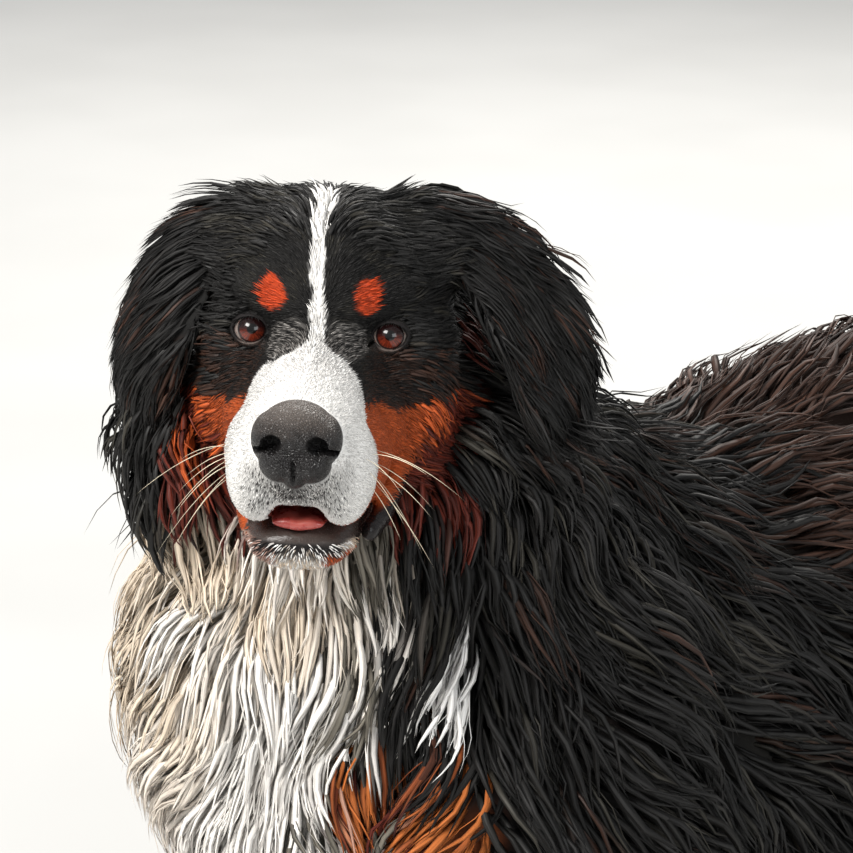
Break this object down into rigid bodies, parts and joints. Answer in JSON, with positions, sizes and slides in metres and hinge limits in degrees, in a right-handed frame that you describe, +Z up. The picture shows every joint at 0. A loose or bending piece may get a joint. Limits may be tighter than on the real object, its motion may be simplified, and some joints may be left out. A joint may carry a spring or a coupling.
{
  "type": "bernese mountain dog",
  "caption": "Life-size still model of a long-haired black, rust and white mountain dog, lying on its chest with the head raised and turned.",
  "frame": {"origin": "on the floor under the middle of the trunk, on the flat that the belly rests on", "axes": "+Z up, -Y the way the chest points, +X to the dog's left"},
  "size_m": [0.5321, 1.1829, 0.6498],
  "materials": {
    "coat_black": "long wavy black hair with a soft sheen",
    "coat_white": "long wavy white hair",
    "coat_rust": "rust-coloured hair",
    "coat_pale": "short pale stubble hair over dark skin",
    "nose_leather": "moist pebbled nose leather",
    "skin_dark": "dark moist skin of lips and eyelids",
    "eye_brown": "wet glossy eye with a brown iris",
    "tongue_red": "wet tongue",
    "claw_dark": "dark horn of the claws",
    "whisker_white": "stiff white whiskers"
  },
  "bodies": {
    "root": {"torso": "coat_black", "neck": "coat_black", "head": "coat_black", "lower_jaw": "coat_pale", "tongue": "tongue_red", "nose": "nose_leather", "eye_left": "eye_brown", "eye_right": "eye_brown", "ear_left": "coat_black", "ear_right": "coat_black", "foreleg_left": "coat_rust", "foreleg_right": "coat_rust", "hind_leg_left": "coat_rust", "hind_leg_right": "coat_rust", "tail": "coat_black"}
  },
  "joints": []
}
